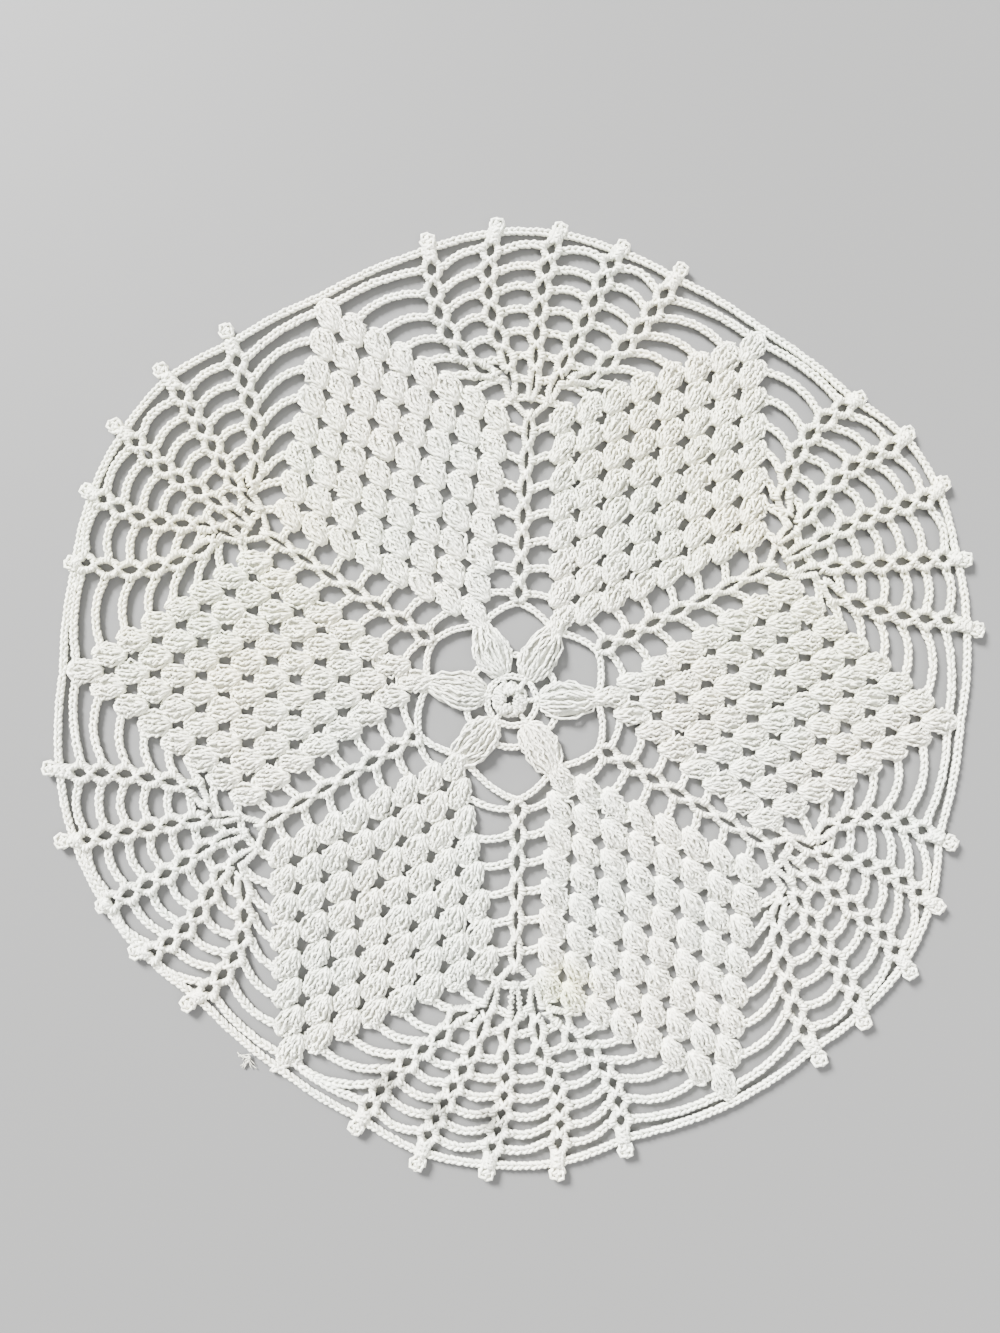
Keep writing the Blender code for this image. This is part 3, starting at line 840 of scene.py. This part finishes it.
def add_row(piece, number, round_number):
    """The chains of a round of a fan: from both panels, and from column to column."""
    width = FIRST_WIDTH if round_number < 2 else ROW_WIDTH
    left = panel_chain(number, -1, round_number)
    right = panel_chain(number, 1, round_number)
    if round_number == 0:
        add_chain(piece, left + right[::-1], width=width)
        return
    add_chain(piece, left, width=width)
    add_chain(piece, right, width=width)
    columns = row_columns(number, round_number)
    for first, second in zip(columns, columns[1:]):
        start = row_end(number, first, round_number, 1)
        end = row_end(number, second, round_number, -1)
        bow = ROW_BOW + rng.uniform(-ROW_BOW_STRAY, ROW_BOW_STRAY)
        add_chain(piece, chain(start, end, bow, SHARES), width=width)
    if round_number == FORKS[number]:
        add_chain(piece, chain(arm_end(number, -1), arm_end(number, 1), FORK_BOW, SHARES))


def add_leg(piece, start, here, end, offsets, girth, lift=0.0):
    """One leg of a V stitch, out from its foot, beside its hole and on to the next foot."""
    start, here, end = (flat(point) for point in (start, here, end))
    share = LEG_SHARES
    first = start + (here - start) * (2 * share[:, None])
    second = here + (end - here) * (2 * share[:, None] - 1)
    line = np.where(share[:, None] < 0.5, first, second)
    growth = (end - start) / max(np.linalg.norm(end - start), TINY)
    across = np.array((growth[1], -growth[0]))
    line = line + across * offsets[:, None]
    height = LEG_HEIGHT + LEG_SWELL * np.sin(np.pi * share)
    height = height + LEG_FOOT_RISE * (1 - share) ** 3 - LEG_END_DROP * share + lift
    path = with_height(line, height)[None]
    reach = LEG_WINDING * girth
    pitch = rng.uniform(*LEG_PITCHES)
    rope = twist(path, reach, pitch, rng.uniform(0, TURN, 1), plies=LEG_PLIES)
    rope += rng.normal(0.0, LEG_NOISE, rope.shape)
    piece.add(rope, YARN * girth * LEG_STRAND, tops=height + reach + YARN * girth)


def add_knot(piece, at, growth, way, wraps, reach=1.0, girth=1.0):
    """Loops of yarn drawn over the legs, each with its step and its lean along the column."""
    strands = []
    for step, lean in wraps:
        middle = at + growth * (step + rng.uniform(-KNOT_STRAY, KNOT_STRAY))
        strand = []
        for loop in KNOT:
            point = middle + way * (loop.aside * reach) + growth * (lean * loop.aside)
            height = loop.height + KNOT_RISE * rng.uniform(*KNOT_RISES)
            strand.append((point.x, point.y, height))
        strands.append(strand)
    piece.add(np.array(strands), YARN * girth, tops=KNOT_TOP)


def add_arms(piece, number, start, girth):
    """The two arms of the wide V stitch that a fan grows from."""
    for side in (-1, 1):
        end = arm_end(number, side)
        offsets = side * ARM_FOOT * (1 - LEG_SHARES)
        add_leg(piece, start, mix(start, end, 0.5), end, offsets, girth)


def add_vee(piece, number, column, round_number):
    """The two legs of a V stitch, with the hole between them at the height of its chains."""
    here = stitch_spot(number, column, round_number)
    before = stitch_before(number, column, round_number)
    first = round_number in (1, FORKS[number] + 1)
    start = mix(before, here, 0.0 if first else 0.5)
    legs = LADDER_LEGS if round_number <= FORKS[number] else FAN_LEGS
    near = FIRST_FOOT if first else legs.foot
    if not first:
        growth = (here - before).normalized()
        wraps = ((0.0, legs.lean), (0.0, -legs.lean))
        add_knot(piece, start, growth, clockwise(growth), wraps, legs.reach, girth=1.3)
    if round_number == FORKS[number]:
        add_arms(piece, number, start, legs.girth)
        return
    for side in (-1, 1):
        wide = gape(number, column, round_number) + rng.uniform(-GAPE_STRAY, GAPE_STRAY)
        end = mix(here, stitch_after(number, column, round_number, side), 0.5)
        low = near + (legs.foot - near) * LEG_SHARES
        bow = (wide - low) * np.sin(np.pi * LEG_SHARES) ** GAPE_SHARPNESS
        add_leg(piece, start, here, end, side * (low + bow), legs.girth)
        way = stitch_side(number, column, round_number) * side
        growth = clockwise(way) * -side
        wraps = [(step, rng.uniform(*SIDE_KNOT_LEANS)) for step in SIDE_KNOT_STEPS]
        add_knot(piece, here + way * (wide + SIDE_KNOT_OUT), growth, way, wraps)


def add_picot(piece, number, place_number):
    """The edge's knob on a column: two short posts up past the edge chain and a small loop."""
    growth = vee_direction(FANS[number], COLUMNS[place_number], ROUNDS)
    across = clockwise(growth)
    foot = picot_foot(number, place_number)
    lean = LEANS[number][place_number]
    knob = picot_spot(number, place_number, KNOBS[number][place_number], lean)
    base = mix(picot_spot(number, place_number, 0.0, 0.0), foot, PICOT_BASE)
    for side in (-1, 1):
        start = base + across * (side * PICOT_BASE_HALF)
        end = foot + growth * PICOT_TOP + across * (side * PICOT_TOP_HALF)
        add_post(piece, start, end, lift=0.3, girth=1.5)
    for share in PICOT_LEVELS:
        at = mix(base, foot, share)
        add_knot(piece, at, growth, across, PICOT_WRAPS, reach=1.35, girth=1.2)
    bearing = math.degrees(math.atan2(growth.x, growth.y))
    ring = [knob + spot(KNOB_RING, bearing + turn) for turn in KNOB_TURNS]
    add_chain(piece, ring, width=1.2, lift=0.5, smoothing=0.2)


def add_edge(piece, number):
    """The edge chain from the tip of the panel left of a fan to the tip on its right."""
    reach = PUFFS_A_SIDE - 1 + EDGE_REACH
    stops = [picot_foot(number, place_number) for place_number in range(len(COLUMNS))]
    stops.append(puff_spot(PANELS[number], reach, reach))
    points = [puff_spot(PANELS[number - 1], reach, reach)]
    for stop in stops:
        points.extend(chain(points[-1], stop, EDGE_CHAIN_BOW, EDGE_SHARES))
    add_chain(piece, points, smoothing=0.8)


def add_panel(piece, panel):
    """The puffs of one panel."""
    for i in range(PUFFS_A_SIDE):
        for j in range(PUFFS_A_SIDE):
            foot = puff_spot(panel, i + PUFF_FOOT, j + PUFF_FOOT)
            head = puff_spot(panel, i + PUFF_HEAD, j + PUFF_HEAD)
            lean = (OUTER_LEAN if j == 0 else 1.0, OUTER_LEAN if i == 0 else 1.0)
            width = rng.uniform(*PUFF_WIDTHS)
            add_cluster(piece, foot, head, PUFF_BELTS, TOP_STRANDS, width, lean, rough=1.3)


def add_ring(piece):
    """The ring: its chain, and the stitches that sweep round from its hole."""
    ring = [RING_MIDDLE + spot(RING_CHAIN_RADIUS, bearing) for bearing in RING_CHAIN_BEARINGS]
    add_chain(piece, ring, width=1.3, smoothing=0.3)
    hole, body, rim = RING_STITCH_RADII
    bulge = RING_STITCH_BULGE * np.sin(np.pi * LEG_SHARES)
    for k in range(RING_STITCHES):
        stray = rng.uniform(-RING_STITCH_DRIFT, RING_STITCH_DRIFT)
        bearing = 360 * (k + stray) / RING_STITCHES
        start = RING_MIDDLE + spot(hole, bearing)
        here = RING_MIDDLE + spot(body, bearing + RING_STITCH_TURN)
        end = RING_MIDDLE + spot(rim, bearing + rng.uniform(*RING_STITCH_SWEEP))
        add_leg(piece, start, here, end, bulge, girth=1.35, lift=0.5)


def add_petal(piece, number):
    """A petal on its stem, and the chain to it from the petal before."""
    bearing = PANELS[number].near_at
    before = PANELS[number - 1].near_at
    foot = spot(PETAL_FOOT, bearing)
    tip = spot(PETAL_TIP, bearing)
    add_cluster(piece, foot, tip, PETAL_BELTS, PETAL_STRANDS, rough=1.7)
    add_post(piece, *(spot(radius, bearing) for radius in PETAL_STEM))
    start = spot(SECOND_LOOP_RADIUS, before)
    end = spot(SECOND_LOOP_RADIUS, bearing)
    start = start + clockwise(outward(start)) * PETAL_SIDE
    end = end - clockwise(outward(end)) * PETAL_SIDE
    points = chain(start, end, SECOND_LOOP_BOW, SHARES)
    add_chain(piece, points, width=LOOP_WIDTH, smoothing=LOOP_SMOOTHING)


def add_tuft(piece):
    """The frayed end of yarn at the edge, its fibres spread over the floor."""
    for _ in range(TUFT_FIBRES):
        bearing = TUFT_AT + rng.uniform(-TUFT_SPREAD, TUFT_SPREAD)
        half = 0.5 * rng.uniform(*TUFT_LENGTHS)
        start = TUFT_SPOT + spot(rng.uniform(0.0, TUFT_ROOT), rng.uniform(0, 360))
        middle = start + spot(half, bearing)
        end = middle + spot(half, bearing + rng.uniform(-TUFT_BEND, TUFT_BEND))
        points = even_path([start, middle, end], smoothing=0.6)
        piece.add(with_height(points, np.linspace(*TUFT_HEIGHTS, len(points)))[None], FIBRE)


def add_net(piece, numbers):
    """Every chain of some of the fans and their ladders."""
    for number in numbers:
        for round_number in range(ROUNDS + 1):
            add_row(piece, number, round_number)


def add_vees(piece, numbers):
    """Every V stitch of some of the fans and their ladders."""
    for number in numbers:
        for round_number in range(1, ROUNDS + 1):
            for column in row_columns(number, round_number):
                add_vee(piece, number, column, round_number)


def add_puffs(piece, numbers):
    """The puffs of some of the panels."""
    for number in numbers:
        add_panel(piece, PANELS[number])


def add_border(piece, numbers):
    """The edge chain and the picots of some of the fans, and the frayed end."""
    for number in numbers:
        add_edge(piece, number)
        for place_number in range(len(COLUMNS)):
            add_picot(piece, number, place_number)
    add_tuft(piece)


def add_centre(piece, numbers):
    """The ring, the loop of chain round it, and the petals of some of the panels."""
    add_ring(piece)
    loop = []
    for number in numbers:
        for turn, least, most in LOOP_STRAYS:
            radius = LOOP_RADIUS + rng.uniform(least, most)
            loop.append(spot(radius, PANELS[number].near_at + turn))
    loop.append(loop[0])
    add_chain(piece, loop, width=LOOP_WIDTH, smoothing=LOOP_SMOOTHING)
    for number in numbers:
        add_petal(piece, number)


def attribute(tree, name):
    """The socket of a number that the mesh holds at each point."""
    node = tree.nodes.new("ShaderNodeAttribute")
    node.attribute_name = name
    return node.outputs["Fac"]


def noise(tree, where, scale, detail):
    """The socket of a noise over the object."""
    node = tree.nodes.new("ShaderNodeTexNoise")
    node.inputs["Scale"].default_value = scale
    node.inputs["Detail"].default_value = detail
    tree.links.new(where, node.inputs["Vector"])
    return node.outputs["Fac"]


def ranged(tree, value, to_range, from_range=(0.0, 1.0), smooth=False):
    """The socket of a number that follows another from one range to a second range."""
    node = tree.nodes.new("ShaderNodeMapRange")
    if smooth:
        node.interpolation_type = "SMOOTHSTEP"
    names = ("From Min", "From Max", "To Min", "To Max")
    for name, number in zip(names, from_range + to_range):
        node.inputs[name].default_value = number
    tree.links.new(value, node.inputs["Value"])
    return node.outputs["Result"]


def scaled(tree, color, factor):
    """The socket of a colour times a number."""
    node = tree.nodes.new("ShaderNodeVectorMath")
    node.operation = "SCALE"
    tree.links.new(color, node.inputs[0])
    tree.links.new(factor, node.inputs["Scale"])
    return node.outputs["Vector"]


def computed(tree, operation, value, *numbers):
    """The socket of a calculation with a number and up to two more, fixed or sockets."""
    node = tree.nodes.new("ShaderNodeMath")
    node.operation = operation
    tree.links.new(value, node.inputs[0])
    for socket, number in zip(node.inputs[1:], numbers):
        if isinstance(number, float):
            socket.default_value = number
        else:
            tree.links.new(number, socket)
    return node.outputs["Value"]


def stained(tree, where, color, stain):
    """The socket of a colour with one stain laid over it."""
    gap = tree.nodes.new("ShaderNodeVectorMath")
    gap.operation = "DISTANCE"
    gap.inputs[1].default_value = (stain.x * MM, stain.y * MM, STAIN_HEIGHT * MM)
    tree.links.new(where, gap.inputs[0])
    rim = stain.radius * MM
    reach = ranged(
        tree, gap.outputs["Value"], (stain.strength, 0.0), (STAIN_CORE * rim, rim), smooth=True
    )
    mixer = tree.nodes.new("ShaderNodeMix")
    mixer.data_type = "RGBA"
    mixer.blend_type = "MULTIPLY"
    tree.links.new(reach, mixer.inputs["Factor"])
    tree.links.new(color, mixer.inputs["A"])
    mixer.inputs["B"].default_value = (stain.red, stain.green, stain.blue, 1.0)
    return mixer.outputs["Result"]


def ply_bump(tree):
    """The socket of a normal that shows the plies winding round each strand."""
    layer = tree.nodes.new("ShaderNodeUVMap")
    layer.uv_map = "yarn"
    split = tree.nodes.new("ShaderNodeSeparateXYZ")
    tree.links.new(layer.outputs["UV"], split.inputs["Vector"])
    along = computed(tree, "MULTIPLY", split.outputs["X"], 2 * math.pi / PLY_LENGTH)
    around = computed(tree, "MULTIPLY_ADD", split.outputs["Y"], 4 * math.pi, along)
    bump = tree.nodes.new("ShaderNodeBump")
    bump.inputs["Strength"].default_value = 0.6
    bump.inputs["Distance"].default_value = 0.00009
    tree.links.new(computed(tree, "SINE", around), bump.inputs["Height"])
    return bump.outputs["Normal"]


def cotton_yarn():
    """Undyed cotton, matt, its plies raised along the strands, a little stained, with painted
    shade.
    """
    material = plain_material("cotton_yarn", WHITE, 0.92)
    tree = material.node_tree
    shader = tree.nodes["Principled BSDF"]
    shader.inputs["Specular IOR Level"].default_value = 0.2
    where = tree.nodes.new("ShaderNodeTexCoord").outputs["Object"]

    ramp = tree.nodes.new("ShaderNodeValToRGB")
    for stop, (position, color) in zip(ramp.color_ramp.elements, COTTON):
        stop.position = position
        stop.color = color
    tree.links.new(noise(tree, where, scale=30.0, detail=2.0), ramp.inputs["Fac"])
    grain = noise(tree, where, scale=750.0, detail=1.0)

    # Each strand has its own tone, the fibres give a grain, and what lies low is painted darker as
    # shade.
    last = scaled(tree, ramp.outputs["Color"], ranged(tree, attribute(tree, "tone"), (0.90, 1.06)))
    last = scaled(tree, last, ranged(tree, grain, (0.84, 1.03), (0.35, 0.6)))
    last = scaled(tree, last, ranged(tree, attribute(tree, "rise"), (0.55, 1.04)))
    for stain in STAINS:
        last = stained(tree, where, last, stain)
    tree.links.new(last, shader.inputs["Base Color"])
    tree.links.new(ply_bump(tree), shader.inputs["Normal"])
    return material


def plain_material(name, color, roughness):
    """A material of one colour."""
    material = bpy.data.materials.new(name)
    material.use_nodes = True
    shader = material.node_tree.nodes["Principled BSDF"]
    shader.inputs["Base Color"].default_value = color
    shader.inputs["Roughness"].default_value = roughness
    return material


def add_floor():
    """The plain floor that the doily lies on, just below its yarn."""
    bpy.ops.mesh.primitive_plane_add(size=6.0, location=(0.0, 0.0, -0.0002))
    floor = bpy.context.active_object
    floor.name = "floor"
    floor.data.materials.append(plain_material("floor_paint", FLOOR_COLOR, 0.7))


def add_object(name, content):
    """A new object in the scene that shows a mesh, a lamp or a camera."""
    thing = bpy.data.objects.new(name, content)
    bpy.context.scene.collection.objects.link(thing)
    return thing


def add_light(name, spot_at, spread, strength):
    """A soft even light shining from a point towards the middle."""
    lamp = bpy.data.lights.new(name, "SUN")
    lamp.energy = strength
    lamp.angle = math.radians(spread)
    thing = add_object(name, lamp)
    thing.location = spot_at
    thing.rotation_euler = (-Vector(spot_at)).to_track_quat("-Z", "Y").to_euler()


def add_camera():
    """The camera, looking almost straight down."""
    lens = bpy.data.cameras.new("photo_camera")
    lens.sensor_fit = "VERTICAL"
    lens.angle = math.radians(67.05)
    lens.clip_start = 0.01
    camera = add_object("photo_camera", lens)
    camera.location = (-0.00352, -0.00019, 0.29497)
    camera.rotation_euler = (math.radians(2.0), 0.0, 0.0)
    bpy.context.scene.camera = camera


def add_world():
    """White light from all around."""
    world = bpy.data.worlds.new("studio")
    bpy.context.scene.world = world
    world.use_nodes = True
    background = world.node_tree.nodes["Background"]
    background.inputs["Color"].default_value = WHITE
    background.inputs["Strength"].default_value = 1.5


yarn = cotton_yarn()
made = {}
for name, add_all, numbers in (
    ("net_right", add_net, RIGHT_FANS),
    ("net_left", add_net, LEFT_FANS),
    ("vees_right", add_vees, RIGHT_FANS),
    ("vees_left", add_vees, LEFT_FANS),
    ("puffs_top", add_puffs, (5, 0)),
    ("puffs_right", add_puffs, (1, 2)),
    ("puffs_left", add_puffs, (3, 4)),
    ("edge", add_border, range(len(FANS))),
    ("centre", add_centre, range(len(PANELS))),
):
    work = Piece()
    add_all(work, numbers)
    made[name] = work.build(name, yarn)

for thing in made.values():
    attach(thing, "root")
    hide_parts("doily")

add_floor()

add_world()
add_light("key_light", spot_at=(-0.65, 0.8, 0.65), spread=19.0, strength=28.0)
add_light("fill_light", spot_at=(0.8, -0.5, 0.9), spread=40.0, strength=2.4)
add_camera()
